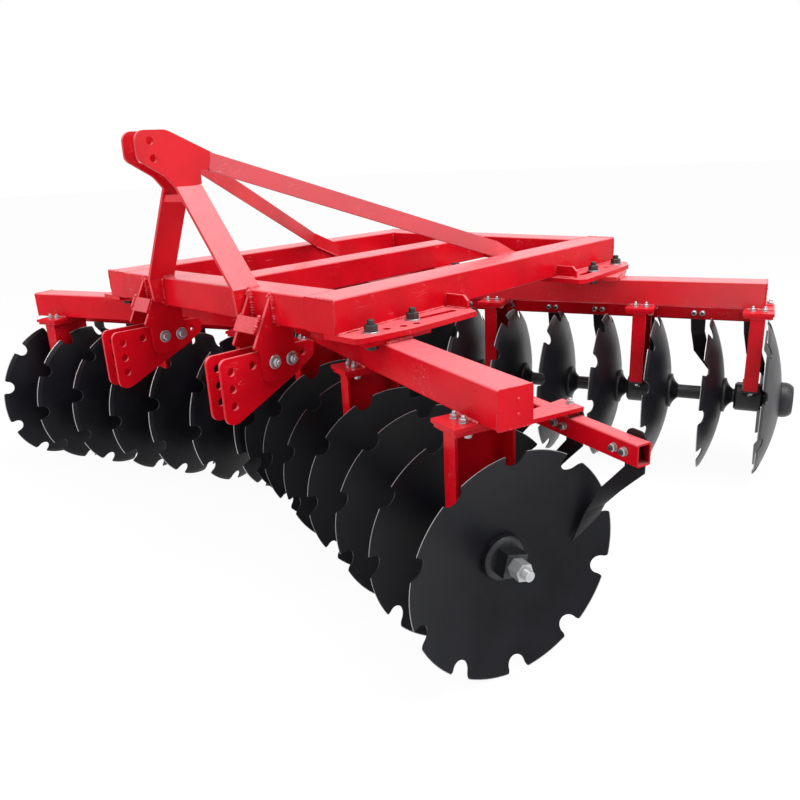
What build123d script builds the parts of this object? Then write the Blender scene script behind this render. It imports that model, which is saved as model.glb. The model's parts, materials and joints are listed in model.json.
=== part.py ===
"""Mounted disc harrow: two front and two rear disc gangs, set in an X under a welded tube frame.

Millimetres. X runs across the machine, Y to the rear, Z up, and the floor is z = 0.
The machine is drawn with y = 0 on the front face of its frame and stored about its own centre.
Each gang is drawn in its own frame: X along the gang axle and outboard, Y to the rear, Z up.
"""
from build123d import *
from math import hypot, radians, sin, sqrt
import os

# Discs: notched, dished, sharpened on the convex side
disc_diameter = 660
disc_dish = 75
disc_thickness = 5
disc_bevel_width = 16
disc_edge_thickness = 1.6
notch_count = 10
notch_radius = 28
notch_lip_radius = 14
disc_pitch = 222
discs_per_gang = 7

# Gang axle: square bar, turned about itself by this angle, with a block, a nut and a thread at one end
axle_square = 40
axle_bore_square = 40.6
axle_turn = -14
end_block_size = 68
end_block_length = 40
end_nut_radius = 28
end_nut_length = 40
thread_radius = 15
thread_length = 21
spool_neck_radius = 30
spool_bell_radius = 75
spool_foot_radius = 46
running_gap = 0.4

# Main frame of rectangular tube
frame_width = 1440
frame_length = 1790
frame_top = 977
frame_tube_width = 140
frame_tube_height = 110
tube_wall = 8
tube_corner = 6
bore_corner = 3

# Gangs: angle to the machine's cross axis, and where each gang axis crosses the line x = 600
gang_reference_x = 600
front_gang_angle = 18.7
rear_gang_angle = 17.0
front_gang_y = 243
rear_gang_y = 1487
front_first_rim = 851
rear_first_rim = 888
front_beam_end = 840
rear_beam_end = 870
beam_inner_end = -556
beam_size = 110
mount_plate_thickness = 18

# Hangers under the gang beams and the bearings under them, by where they stand along the gang
hanger_positions = {"front": (706, 48, -404), "rear": (847, 387, -285)}
bearing_positions = {"front": (676, 10, -434), "rear": (843, 397, -269)}
hanger_plate_thickness = 12
channel_depth = 193
channel_flange = 56
channel_wall = 8
channel_front = -113
bearing_radius = 61
bearing_length = 112
bearing_chamfer = 9
bearing_pad_height = 58

# Scraper bars behind the gang beams
bar_depth = 45
bar_height = 60
bar_wall = 5
bar_corner = 6
front_bar_centre = 226
rear_bar_centre = 192.5
rear_bar_drop = 16
scraper_thickness = 5

# Three-point hitch
hitch_half_spread = 360
hitch_gap = 66
hitch_plate_thickness = 12
hitch_spacer_length = 13
hitch_spacer_radius = 24
lower_pin_radius = 14.4
top_pin_radius = 12.9
mast_plate_outer = 47
mast_plate_thickness = 12

# Distances that follow from the driving dimensions
origin_y = 860
axle_height = disc_diameter / 2
frame_bottom = frame_top - frame_tube_height
half_frame = frame_width / 2
inner_face = half_frame - frame_tube_width
beam_top = frame_bottom - 2 * mount_plate_thickness
beam_bottom = beam_top - beam_size
disc_radius = disc_diameter / 2
dish_radius = (disc_radius**2 + disc_dish**2) / (2 * disc_dish)
bar_top = beam_bottom - 2 * hanger_plate_thickness


def tube(length, width, height, wall, corner, capped=True):
    """Rectangular tube with rounded corners, along X from x = 0."""
    outer = extrude(Plane.YZ * RectangleRounded(width, height, corner), length)
    bore = Plane.YZ * RectangleRounded(width - 2 * wall, height - 2 * wall, bore_corner)
    if capped:
        return outer - Pos(wall, 0, 0) * extrude(bore, length - 2 * wall)
    return outer - extrude(bore, length)


def outline_face(points):
    """Face inside an outline. A point with a third value has its corner rounded to that radius."""
    face = make_face(Polyline([point[:2] for point in points], close=True))
    for point in points:
        if len(point) == 3:
            corner = face.vertices().sort_by_distance(Vector(point[0], point[1], 0))[0]
            face = fillet(corner, point[2])
    return face


def side_plate(points, x_low, thickness):
    """Plate in a plane of constant x, cut to an outline of (y, z) points."""
    return Pos(x_low, 0, 0) * extrude(Plane.YZ * outline_face(points), thickness)


def flat_plate(points, z_low, thickness):
    """Horizontal plate cut to an outline of (x, y) points."""
    return Pos(0, 0, z_low) * extrude(outline_face(points), thickness)


def box_between(low, high):
    """Block between two opposite corners."""
    size = [b - a for a, b in zip(low, high)]
    middle = [(a + b) / 2 for a, b in zip(low, high)]
    return Pos(*middle) * Box(*size)


def cross_hole(y, z, radius):
    """Cutter for a hole along X through everything."""
    return Pos(0, y, z) * Rot(0, 90, 0) * Cylinder(radius, 4 * half_frame)


def square_bore():
    """Cutter for the square hole along the gang axis."""
    return Rot(axle_turn, 0, 0) * Box(4000, axle_bore_square, axle_bore_square)


# Disc blade, drawn with its rim plane at x = 0 and its hollow side facing +X

def dish_x(radius, offset=0):
    """Where the hollow face, or the face that lies offset behind it, stands at a radius."""
    return dish_radius - disc_dish - sqrt((dish_radius + offset) ** 2 - radius**2)


def dish_arc(inner, outer, offset=0):
    middle = (inner + outer) / 2
    return ThreePointArc((dish_x(inner, offset), inner), (dish_x(middle, offset), middle),
                         (dish_x(outer, offset), outer))


def notch_cutter():
    """Cutter for a notch in the rim at +Y, with a round bottom and rounded lips."""
    deep = disc_radius - notch_lip_radius
    wide = notch_radius + notch_lip_radius
    turn = notch_lip_radius * sqrt(0.5)
    floor = ThreePointArc((deep, -notch_radius), (deep - notch_radius, 0), (deep, notch_radius))
    lip = ThreePointArc((deep, notch_radius), (deep + turn, wide - turn), (disc_radius, wide))
    far_lip = ThreePointArc((disc_radius, -wide), (deep + turn, turn - wide), (deep, -notch_radius))
    mouth = Polyline([(disc_radius, wide), (disc_radius + 20, wide), (disc_radius + 20, -wide),
                      (disc_radius, -wide)])
    return extrude(Plane.YZ * make_face(Curve() + [floor, lip, mouth, far_lip]), 60, both=True)


def disc_blade(phase):
    bevel_start = disc_radius - disc_bevel_width
    hollow = dish_arc(0, disc_radius)
    back = dish_arc(0, bevel_start, disc_thickness)
    edge = Polyline([(dish_x(disc_radius), disc_radius),
                     (dish_x(disc_radius) - disc_edge_thickness, disc_radius),
                     (dish_x(bevel_start, disc_thickness), bevel_start)])
    middle = Line((dish_x(0), 0), (dish_x(0, disc_thickness), 0))
    blade = revolve(make_face(Curve() + [hollow, edge, back, middle]), Axis.X)
    notch = notch_cutter()
    for step in range(notch_count):
        blade -= Rot(phase + 360 / notch_count * step, 0, 0) * notch
    return blade - square_bore()


# Spool between two discs: a foot on the hollow face of one, a bell on the round back of the next

def spool(foot_x, bell_x):
    """Spool from foot_x, on a hollow face, to bell_x, on a round back, measured on the axis."""
    foot_edge = foot_x + dish_x(spool_foot_radius) - dish_x(0)
    bell_edge = bell_x + dish_x(spool_bell_radius, disc_thickness) - dish_x(0, disc_thickness)
    foot_arc = ThreePointArc((foot_x, 0), (foot_x + dish_x(23) - dish_x(0), 23),
                             (foot_edge, spool_foot_radius))
    bell_arc = ThreePointArc((bell_edge, spool_bell_radius),
                             (bell_x + dish_x(31, disc_thickness) - dish_x(0, disc_thickness), 31),
                             (bell_x, 0))
    outline = Polyline([(foot_edge, spool_foot_radius), (foot_x + 14, spool_foot_radius),
                        (foot_x + 22, spool_neck_radius), (bell_x - 34, spool_neck_radius)])
    flare = ThreePointArc((bell_x - 34, spool_neck_radius), (bell_x - 18, 46),
                          (bell_x - 6, spool_bell_radius))
    rim = Line((bell_x - 6, spool_bell_radius), (bell_edge, spool_bell_radius))
    axis_line = Line((bell_x, 0), (foot_x, 0))
    body = revolve(make_face(Curve() + [foot_arc, outline, flare, rim, bell_arc, axis_line]), Axis.X)
    return body - square_bore()


def cup(face_x, offset, length, radius, lip, sense):
    """Domed end casting that seats on a disc at face_x and reaches length along sense."""
    edge_x = face_x + dish_x(radius, offset) - dish_x(0, offset)
    arc = ThreePointArc((face_x, 0), (face_x + dish_x(radius / 2, offset) - dish_x(0, offset), radius / 2),
                        (edge_x, radius))
    end_x = face_x + sense * length
    lip_x = edge_x + sense * lip
    dome = ThreePointArc((lip_x, radius), (lip_x * 0.4 + end_x * 0.6, radius * 0.93), (end_x, radius * 0.76))
    base = Polyline([(end_x, radius * 0.76), (end_x, 0), (face_x, 0)])
    body = revolve(make_face(Curve() + [arc, Line((edge_x, radius), (lip_x, radius)), dome, base]), Axis.X)
    return body - square_bore()


# Scraper: a foot bolted to the back of the bar and a twisted blade that ends beside the hollow face.
# Columns: distance from the rim plane toward the hollow side, y, z of the blade's middle line,
# the direction of its width there, and its width.
front_scraper_sections = (
    (148, 251, 712, (1.00, 0.00, 0.00), 66),
    (148, 251, 604, (1.00, 0.00, 0.00), 64),
    (66, 252, 517, (0.90, 0.35, 0.10), 56),
    (14, 252, 443, (0.62, 0.55, 0.50), 60),
    (-20, 249, 363, (0.29, 0.67, 0.69), 100),
)
rear_scraper_sections = (
    (66, 218, 690, (1.00, 0.00, 0.00), 70),
    (60, 218, 560, (1.00, 0.00, 0.00), 60),
    (40, 232, 470, (0.86, -0.40, -0.20), 68),
    (-21, 255, 370, (-0.22, -0.48, -0.85), 82),
)
scraper_foot_corner = 22


def scraper(row):
    """Scraper for a disc whose rim plane is x = 0 and whose hollow side faces +X."""
    sections = front_scraper_sections if row == "front" else rear_scraper_sections
    middles = [Vector(x, y, z) for x, y, z, *_ in sections]
    faces = []
    for index, (*_, direction, width) in enumerate(sections):
        before = middles[max(index - 1, 0)]
        after = middles[min(index + 1, len(middles) - 1)]
        run = after - before if index > 1 else Vector(0, 0, -1)
        across = Vector(*direction).normalized()
        lengthwise = run - across * run.dot(across)
        section = Plane(middles[index], x_dir=across, z_dir=lengthwise)
        faces.append(section * Rectangle(width, scraper_thickness))
    blade = loft(faces, ruled=True)
    foot_corners = blade.edges().filter_by(Axis.Y).group_by(Axis.Z)[-1]
    return fillet(foot_corners, scraper_foot_corner)


# Gangs

front_cup_length = 27
rear_cup_length = 44


def gang_frame(row):
    """Frame of a right-hand gang: origin on the floor under the reference point."""
    angle, y = (-front_gang_angle, front_gang_y) if row == "front" else (rear_gang_angle, rear_gang_y)
    return Location((gang_reference_x, y, 0), (0, 0, angle))


def rim_planes(row):
    first = front_first_rim if row == "front" else rear_first_rim
    return [first - disc_pitch * index for index in range(discs_per_gang)]


def hollow_sense(row):
    """Front discs are hollow outboard, rear discs inboard."""
    return 1 if row == "front" else -1


def gang_discs(row):
    blades = []
    for index, rim in enumerate(rim_planes(row)):
        blade = disc_blade(19 + 18 * (index % 2))
        if hollow_sense(row) < 0:
            blade = mirror(blade, about=Plane.YZ)
        blades.append(Pos(rim, 0, axle_height) * blade)
    return blades


def gang_spools(row):
    rims = rim_planes(row)
    back = disc_dish + disc_thickness
    pieces = []
    if row == "front":
        for index in range(discs_per_gang - 1):
            pieces.append(spool(rims[index + 1] - disc_dish, rims[index] - back))
        pieces.append(cup(rims[0] - disc_dish, 0, front_cup_length, 66, 16, 1))
        pieces.append(cup(rims[-1] - back, disc_thickness, 34, 50, 14, -1))
    else:
        for index in range(discs_per_gang - 1):
            piece = spool(-(rims[index] + disc_dish), -(rims[index + 1] + back))
            pieces.append(mirror(piece, about=Plane.YZ))
        outer_cap = cup(-(rims[0] + back), disc_thickness, rear_cup_length, 74, 12, -1)
        inner_cap = cup(-(rims[-1] + disc_dish), 0, 50, 60, 20, 1)
        pieces += [mirror(outer_cap, about=Plane.YZ), mirror(inner_cap, about=Plane.YZ)]
    return [Pos(0, 0, axle_height) * piece for piece in pieces]


def gang_axle(row):
    """Square axle with a square washer block, a nut and a threaded tip at its adjusting end."""
    rims = rim_planes(row)
    back = disc_dish + disc_thickness
    if row == "front":
        inner, outer = rims[-1] - back - 34, rims[0] - disc_dish + front_cup_length
    else:
        inner, outer = rims[-1] + disc_dish - 50, rims[0] + back + rear_cup_length - 4
    block_x, sense = (outer, 1) if row == "front" else (inner, -1)
    nut_x = block_x + sense * end_block_length
    tip_x = nut_x + sense * end_nut_length
    bar = box_between((inner, -axle_square / 2, -axle_square / 2), (outer, axle_square / 2, axle_square / 2))
    block = Pos((block_x + nut_x) / 2, 0, 0) * Box(end_block_length, end_block_size, end_block_size)
    nut = Plane((nut_x, 0, 0), x_dir=(0, 1, 0), z_dir=(sense, 0, 0)) * RegularPolygon(end_nut_radius, 6)
    tip = Plane((tip_x, 0, 0), x_dir=(0, 1, 0), z_dir=(sense, 0, 0)) * Circle(thread_radius)
    axle = bar + block + extrude(nut, end_nut_length) + extrude(tip, thread_length)
    return Pos(0, 0, axle_height) * Rot(axle_turn, 0, 0) * axle


saddle_outlines = {
    "front": [(40, -128), (262, -128), (250, -50), (205, 140), (40, 140)],
    "rear": [(40, -110), (285, -110), (285, 145), (40, 145)],
}


def gang_beam(row):
    """Square beam with the saddle plate that bolts to the frame and the lug on its inner end."""
    outer = front_beam_end if row == "front" else rear_beam_end
    beam = tube(outer - beam_inner_end, beam_size, beam_size, tube_wall, tube_corner)
    beam = Pos(beam_inner_end, 0, beam_top - beam_size / 2) * beam
    saddle = flat_plate(saddle_outlines[row], beam_top, mount_plate_thickness)
    lug = box_between((beam_inner_end, -55, beam_top),
                      (beam_inner_end + 110, 55, beam_top + mount_plate_thickness))
    return beam + saddle + lug


def gang_hangers(row):
    pieces = []
    channel_rear = channel_front + channel_depth
    pad_top = axle_height + bearing_pad_height
    lower_rear = 90 if row == "front" else rear_bar_centre + bar_depth / 2
    for centre in hanger_positions[row]:
        upper = box_between((centre - 58, -133, beam_bottom - 12), (centre + 58, 90, beam_bottom))
        lower = box_between((centre - 54, -126, bar_top), (centre + 54, lower_rear, beam_bottom - 12))
        leg = box_between((centre - channel_flange / 2, channel_front, pad_top),
                          (centre + channel_flange / 2, channel_rear, bar_top))
        hollow = box_between((centre - channel_flange / 2 + channel_wall, channel_front + channel_wall,
                              pad_top + 12),
                             (centre + channel_flange, channel_rear - channel_wall, bar_top))
        hanger = upper + lower + (leg - hollow)
        if row == "rear":
            hanger += box_between((centre - 40, lower_rear - bar_depth, bar_top - rear_bar_drop),
                                  (centre + 40, lower_rear, bar_top))
        pieces.append(hanger)
    return pieces


def gang_bearings(row):
    """Bored housings on the spools' necks, flat on top and with a pad under the hanger's leg."""
    pieces = []
    pad_top = axle_height + bearing_pad_height
    shell = Rot(0, 90, 0) * Cylinder(bearing_radius, bearing_length)
    end_edges = shell.edges().group_by(Axis.X)
    shell = chamfer(end_edges[0] + end_edges[-1], bearing_chamfer)
    bore = Rot(0, 90, 0) * Cylinder(spool_neck_radius + running_gap, 400)
    for hanger, centre in zip(hanger_positions[row], bearing_positions[row]):
        above = box_between((centre - 80, -80, pad_top), (centre + 80, 80, pad_top + 20))
        pad = box_between((hanger - 32, -95, pad_top - 14), (hanger + 26, 70, pad_top))
        neck_end = min(hanger + 24, centre + bearing_length / 2 - bearing_chamfer)
        neck = box_between((hanger - 30, -48, axle_height), (neck_end, 48, pad_top - 14))
        housing = Pos(centre, 0, axle_height) * shell + pad + neck
        pieces.append(housing - above - Pos(centre, 0, axle_height) * bore)
    return pieces


def gang_scraper_bar(row):
    """Open-ended tube behind the beam. Front ones hang on straps, rear ones under the hanger plates."""
    rims = rim_planes(row)
    inner, outer = (rims[-1] + 60, rims[0] + 198) if row == "front" else (rims[-1] - 102, rims[0] - 22)
    centre_y, drop = (front_bar_centre, 0) if row == "front" else (rear_bar_centre, rear_bar_drop)
    bar = tube(outer - inner, bar_depth, bar_height, bar_wall, bar_corner, capped=False)
    bar = Pos(inner, centre_y, bar_top - drop - bar_height / 2) * bar
    if row == "front":
        for centre in hanger_positions[row]:
            bar += bar_strap(centre)
    return bar


def bar_strap(hanger_centre):
    """Plate from under the beam back over the bar, with a pad down to the bar."""
    low, high = hanger_centre + 20, hanger_centre + 107
    rear_edge = front_bar_centre + bar_depth / 2 - 1
    outline = [(low + 42, 20), (high, 20), (high, rear_edge), (low, rear_edge), (low + 28, 96), (low + 42, 96)]
    strap = flat_plate(outline, beam_bottom - 12, 12)
    pad = box_between((low + 16, front_bar_centre - 18, bar_top),
                      (high - 10, front_bar_centre + 18, beam_bottom - 12))
    return strap + pad


def gang_scrapers(row):
    blade = scraper(row)
    if hollow_sense(row) < 0:
        blade = mirror(blade, about=Plane.YZ)
    return [Pos(rim, 0, 0) * blade for rim in rim_planes(row)]


# Frame

def side_beam():
    beam = tube(frame_length, frame_tube_width, frame_tube_height, tube_wall, tube_corner)
    return Pos(half_frame - frame_tube_width / 2, 0, frame_top - frame_tube_height / 2) * Rot(0, 0, 90) * beam


def crossbeam(front_y):
    beam = tube(2 * inner_face, frame_tube_width, frame_tube_height, tube_wall, tube_corner)
    return Pos(-inner_face, front_y + frame_tube_width / 2, frame_top - frame_tube_height / 2) * beam


def centre_beam():
    beam = tube(frame_length - 2 * frame_tube_width, frame_tube_width, frame_tube_height, tube_wall, tube_corner)
    return Pos(0, frame_tube_width, frame_top - frame_tube_height / 2) * Rot(0, 0, 90) * beam


# Plates between the frame and the gang beams. Outlines in (x, y) of the machine.
mount_outlines = {
    "front": [(half_frame - 60, 2), (800, 2, 8), (818, 25, 8), (855, 210, 60), (866, 522, 6), (810, 552, 6),
              (half_frame - 60, 552)],
    "rear": [(half_frame - 60, 1243), (848, 1243, 6), (872, 1270, 6), (840, 1706, 6), (790, 1790, 6),
             (half_frame - 60, 1790)],
}
# Adjusting slots from one end to the other, and spare holes for other gang angles
mount_slots = {"front": ((769, 300), (792, 496)), "rear": ((794, 1350), (784, 1490))}
spare_holes = {"front": ((787, 156), (806, 214), (816, 266)), "rear": ((782, 1600),)}
slot_width = 26
spare_hole_radius = 13
tab_positions = {"front": 533, "rear": 1275}
tab_reach = 96
tab_height = 46
tab_chamfer = 18


def frame_mount_plate(row):
    plate = flat_plate(mount_outlines[row], frame_bottom - mount_plate_thickness, mount_plate_thickness)
    start, end = [Vector(x, y, frame_bottom - 30) for x, y in mount_slots[row]]
    slot_plane = Plane((start + end) / 2, x_dir=end - start, z_dir=(0, 0, 1))
    plate -= extrude(slot_plane * SlotOverall((end - start).length, slot_width), 40)
    for x, y in spare_holes[row]:
        plate -= Pos(x, y, frame_bottom) * Cylinder(spare_hole_radius, 4 * mount_plate_thickness)
    outline = [(half_frame, frame_bottom), (half_frame + tab_reach, frame_bottom),
               (half_frame + tab_reach, frame_bottom + tab_height - tab_chamfer),
               (half_frame + tab_reach - tab_chamfer, frame_bottom + tab_height),
               (half_frame, frame_bottom + tab_height)]
    tab = extrude(Plane.XZ * outline_face(outline), -12)
    return plate + Pos(0, tab_positions[row], 0) * tab


def pivot_plate(y):
    """Plate under the centre beam that carries the inner ends of a row's gang beams."""
    return box_between((-150, y - 90, frame_bottom - mount_plate_thickness),
                       (150, y + 90, frame_bottom))


# Mast: head plates with bends into a front leg and a rear brace

head_outline = [(-73, 1313), (28, 1321), (30, 1370), (62, 1368), (83, 1426), (-85, 1502, 70), (-198, 1500, 34),
                (-200, 1409, 26), (-105, 1352, 40)]
top_pin_holes = ((-148, 1467), (-143, 1412))
leg_top = (mast_plate_outer - mast_plate_thickness / 2, 1316)
leg_foot_x = 276
tongue_outline = [(-54, frame_top), (0, frame_top), (0, 886), (-46, 886, 8)]
brace_bend_y = 1050
brace_head = (72, 1393)
brace_height = 66


def head_plate():
    """Head of the mast, with two holes for the top link near its round front end."""
    plate = side_plate(head_outline, mast_plate_outer - mast_plate_thickness, mast_plate_thickness)
    for y, z in top_pin_holes:
        plate -= cross_hole(y, z, top_pin_radius)
    return plate


def mast_leg():
    """Flat bar that splays from the head plate down to the crossbeam, with an upright tongue in front of it."""
    run_x = leg_foot_x - leg_top[0]
    drop = leg_top[1] - frame_top
    slope = hypot(run_x, drop)
    outline = make_face(Polyline([(-73, 0), (28, 0), (53, slope), (53, slope + 20), (-54, slope + 20),
                                  (-54, slope)], close=True))
    across = Vector(drop, 0, run_x).normalized()
    down = Vector(run_x, 0, -drop).normalized()
    sheet = Plane((leg_top[0], 0, leg_top[1]), x_dir=(0, 1, 0), z_dir=(-across.X, 0, -across.Z))
    if sheet.y_dir.dot(down) < 0:
        sheet = Plane(sheet.origin, x_dir=(0, 1, 0), z_dir=across)
    leg = extrude(sheet * outline, mast_plate_thickness / 2, both=True)
    tongue = side_plate(tongue_outline, leg_foot_x - mast_plate_thickness / 2, mast_plate_thickness)
    return leg - box_between((0, -400, 0), (600, 400, frame_top)) + tongue


def mast_side():
    """Head plate and splayed leg, bent from one plate."""
    return head_plate() + mast_leg()


def mast_brace():
    """Flat bar from the head plate to the side beam, bent to lie along the beam's inner face."""
    head_x = mast_plate_outer - mast_plate_thickness / 2
    end_x = inner_face - 6
    y0, z0 = brace_head
    z1 = 1000
    z2 = 925
    y2 = 1215
    half = brace_height / 2
    start, bend, end = (head_x, y0), (end_x, brace_bend_y), (end_x, y2)
    plan = offset(Polyline([start, bend, end]), 5, side=Side.BOTH)
    ribbon = extrude(make_face(plan), 1600)
    slope_one = Polyline([(y0 - 20, z0 + half + 10), (brace_bend_y, z1 + half), (y2, z2 + half),
                          (y2, z2 - half), (brace_bend_y, z1 - half), (y0 - 20, z0 - half + 10)], close=True)
    side = extrude(Plane.YZ * make_face(slope_one), 800)
    return (ribbon & side) - head_plate() - mast_leg()


def mast_cross_plate():
    plate = box_between((-100, -66, 1267), (100, -42, 1291))
    leg = mast_leg()
    plate = plate - leg - mirror(leg, about=Plane.YZ)
    return max(plate.solids(), key=lambda solid: solid.volume)


# Lower hitch: two cheeks a side on the crossbeam, and between them a pair of plates with pin holes

cheek_outline = [(0, 971), (-91, 800, 6), (-66, 787, 10), (-64, 676, 34), (78, 676, 30), (78, frame_bottom),
                 (0, frame_bottom)]
hitch_plate_outline = [(-220, 566, 30), (-174, 566, 24), (84, 678, 60), (165, 724, 26), (182, 783, 30),
                       (-220, 790, 26)]
lower_pin_holes = ((-180, 744), (-180, 686), (-180, 628), (-95, 747))
rear_pin_hole = (121, 749)
cheek_bolts = ((-12, 742), (60, 739))
cheek_bolt_radius = 13
tie_middle = (-55, 868)
tie_length = 56
tie_thickness = 20
tie_proud = 12

# Inboard faces of the inboard and the outboard piece of each pair
hitch_plate_positions = (hitch_half_spread - hitch_gap / 2 - hitch_plate_thickness,
                         hitch_half_spread + hitch_gap / 2)
cheek_positions = (hitch_plate_positions[0] - hitch_spacer_length - hitch_plate_thickness,
                   hitch_plate_positions[1] + hitch_plate_thickness)


def hitch_bracket():
    """Two cheeks, a short plate across their front edges, and spacers on the inboard cheek."""
    bracket = hitch_tie_plate()
    for low in cheek_positions:
        bracket += side_plate(cheek_outline, low, hitch_plate_thickness)
    spacer_x = hitch_plate_positions[0] - hitch_spacer_length / 2
    for y, z in cheek_bolts:
        spacer = Pos(spacer_x, y, z) * Rot(0, 90, 0) * Cylinder(hitch_spacer_radius, hitch_spacer_length)
        bracket = bracket + spacer - cross_hole(y, z, cheek_bolt_radius)
    return bracket


def hitch_plates():
    pieces = []
    for low in hitch_plate_positions:
        plate = side_plate(hitch_plate_outline, low, hitch_plate_thickness)
        for y, z in lower_pin_holes + (rear_pin_hole,):
            plate -= cross_hole(y, z, lower_pin_radius)
        for y, z in cheek_bolts:
            plate -= cross_hole(y, z, cheek_bolt_radius)
        pieces.append(plate)
    return pieces


def hitch_tie_plate():
    """Short plate across the sloping front edges of a pair of cheeks."""
    top, foot = Vector(0, *cheek_outline[0]), Vector(0, *cheek_outline[1][:2])
    width = cheek_positions[1] - cheek_positions[0]
    middle = Vector(cheek_positions[0] + width / 2, *tie_middle)
    edge_plane = Plane(middle, x_dir=(1, 0, 0), z_dir=Vector(1, 0, 0).cross(top - foot))
    return edge_plane * Pos(0, 0, tie_proud - tie_thickness / 2) * Box(width, tie_length, tie_thickness)


# Stored pieces

def place(shape):
    return Pos(0, -origin_y, 0) * shape


def gather(pieces):
    return pieces[0] if len(pieces) == 1 else Compound(children=list(pieces))


nodes = {}


def both_sides(name, make):
    """A right-hand piece and its mirror image."""
    pieces = make()
    if not isinstance(pieces, list):
        pieces = [pieces]
    nodes[name + "_right"] = pieces
    nodes[name + "_left"] = [mirror(piece, about=Plane.YZ) for piece in pieces]


nodes["front_crossbeam"] = [crossbeam(0)]
nodes["rear_crossbeam"] = [crossbeam(frame_length - frame_tube_width)]
nodes["centre_beam"] = [centre_beam()]
both_sides("side_beam", side_beam)
both_sides("mast_side", mast_side)
both_sides("mast_brace", mast_brace)
nodes["mast_cross_plate"] = [mast_cross_plate()]
both_sides("hitch_bracket", hitch_bracket)
both_sides("hitch_plates", hitch_plates)

gang_makers = {
    "beam": lambda row: [gang_beam(row)],
    "hangers": gang_hangers,
    "bearings": gang_bearings,
    "scraper_bar": lambda row: [gang_scraper_bar(row)],
    "scrapers": gang_scrapers,
    "discs": gang_discs,
    "spools": gang_spools,
    "axle": lambda row: [gang_axle(row)],
}
for row in ("front", "rear"):
    both_sides(row + "_mount_plate", lambda: frame_mount_plate(row))
    pivot_y = front_gang_y + 535 * sin(radians(front_gang_angle))
    if row == "rear":
        pivot_y = rear_gang_y - 535 * sin(radians(rear_gang_angle))
    nodes[row + "_pivot_plate"] = [pivot_plate(pivot_y)]
    for piece, make in gang_makers.items():
        both_sides(f"{row}_{piece}", lambda: [gang_frame(row) * solid for solid in make(row)])

os.makedirs("parts", exist_ok=True)
for name, pieces in nodes.items():
    export_step(place(gather(pieces)), f"parts/{name}.step")
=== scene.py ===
# Mounted disc harrow: a welded frame of red tube, a bent-plate mast and hitch in front, and four
# gangs of notched discs hung under two rows of gang beams. Sizes of its pieces are in millimetres,
# with y = 0 on the frame's front face, z up from the floor, and s, n, z for outboard, rearward and
# up on a gang. Shaders, lamps and the camera are in metres.
import json
import math

import bmesh
import bpy
from mathutils import Matrix, Vector, noise


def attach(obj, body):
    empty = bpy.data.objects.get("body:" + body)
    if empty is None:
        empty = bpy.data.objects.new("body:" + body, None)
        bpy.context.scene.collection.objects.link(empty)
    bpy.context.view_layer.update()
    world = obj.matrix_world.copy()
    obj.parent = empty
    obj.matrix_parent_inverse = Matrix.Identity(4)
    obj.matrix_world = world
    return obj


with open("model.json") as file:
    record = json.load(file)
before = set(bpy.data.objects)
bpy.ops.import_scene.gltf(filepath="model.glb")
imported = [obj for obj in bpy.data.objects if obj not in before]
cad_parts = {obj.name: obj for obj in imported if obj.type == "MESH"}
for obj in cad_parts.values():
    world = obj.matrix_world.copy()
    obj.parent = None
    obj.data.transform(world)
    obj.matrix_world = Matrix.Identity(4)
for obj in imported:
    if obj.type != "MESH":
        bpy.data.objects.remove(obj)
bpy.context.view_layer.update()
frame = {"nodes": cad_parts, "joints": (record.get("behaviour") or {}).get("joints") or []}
nodes = frame["nodes"]


# Main frame. Two long side tubes with three shorter ones butted and welded between them, of
# rectangular steel tube, 140 x 110 mm with capped ends, shot-blasted and sprayed with a glossy red
# enamel.
MM = 0.001
FRAME_FRONT = -0.860
TOP, BOTTOM = 977, 867
INNER_FACE, OUTER_FACE = 580, 720
REAR_FACE = 1790
RED = (0.62, 0.004, 0.013, 1)
RED_DEEP = (0.50, 0.003, 0.010, 1)
# Pale colour of fine scratches, also used as a painted sheen.
PALE_SCRATCH_AND_SHEEN = (1.0, 0.42, 0.46, 1)
SCRATCH_STRENGTH = 0.35
WHITE = (1, 1, 1, 1)
ORIGIN = (0, 0, 0)


def spot(x, y, z):
    """A point of the machine, from millimetres."""
    return Vector((x * MM, FRAME_FRONT + y * MM, z * MM))


def feed(tree, node, inputs):
    """Gives a node's inputs their numbers and colours, or links them to other nodes' outputs."""
    for socket, value in inputs.items():
        if isinstance(value, bpy.types.NodeSocket):
            tree.links.new(value, node.inputs[socket])
        else:
            node.inputs[socket].default_value = value


def add(tree, kind, inputs, **settings):
    """One shader node, with its settings and its inputs."""
    node = tree.nodes.new(kind)
    for name, value in settings.items():
        setattr(node, name, value)
    feed(tree, node, inputs)
    return node


def speckle(tree, place, scale, detail):
    """Clouds or grain over the surface, from 0 to 1."""
    inputs = {"Vector": place, "Scale": scale, "Detail": detail}
    return add(tree, "ShaderNodeTexNoise", inputs).outputs["Fac"]


def between(tree, value, low, high, at_low=0.0, at_high=1.0):
    """Goes from at_low to at_high while a value goes from low to high."""
    inputs = {"Value": value, "From Min": low, "From Max": high, "To Min": at_low,
              "To Max": at_high}
    return add(tree, "ShaderNodeMapRange", inputs).outputs["Result"]


def worked_out(tree, operation, *values):
    """Arithmetic on values that change over the surface."""
    inputs = dict(enumerate(values))
    return add(tree, "ShaderNodeMath", inputs, operation=operation).outputs["Value"]


def times(tree, first, second):
    """One value times another."""
    return worked_out(tree, "MULTIPLY", first, second)


def mixed(tree, share, first, second):
    """The first colour, with a share of the second over it."""
    inputs = {"Factor": share, "A": first, "B": second}
    return add(tree, "ShaderNodeMix", inputs, data_type="RGBA").outputs["Result"]


def facing(tree):
    """The way each face looks, as X, Y and Z."""
    normal = add(tree, "ShaderNodeNewGeometry", {}).outputs["Normal"]
    return add(tree, "ShaderNodeSeparateXYZ", {"Vector": normal}).outputs


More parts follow.
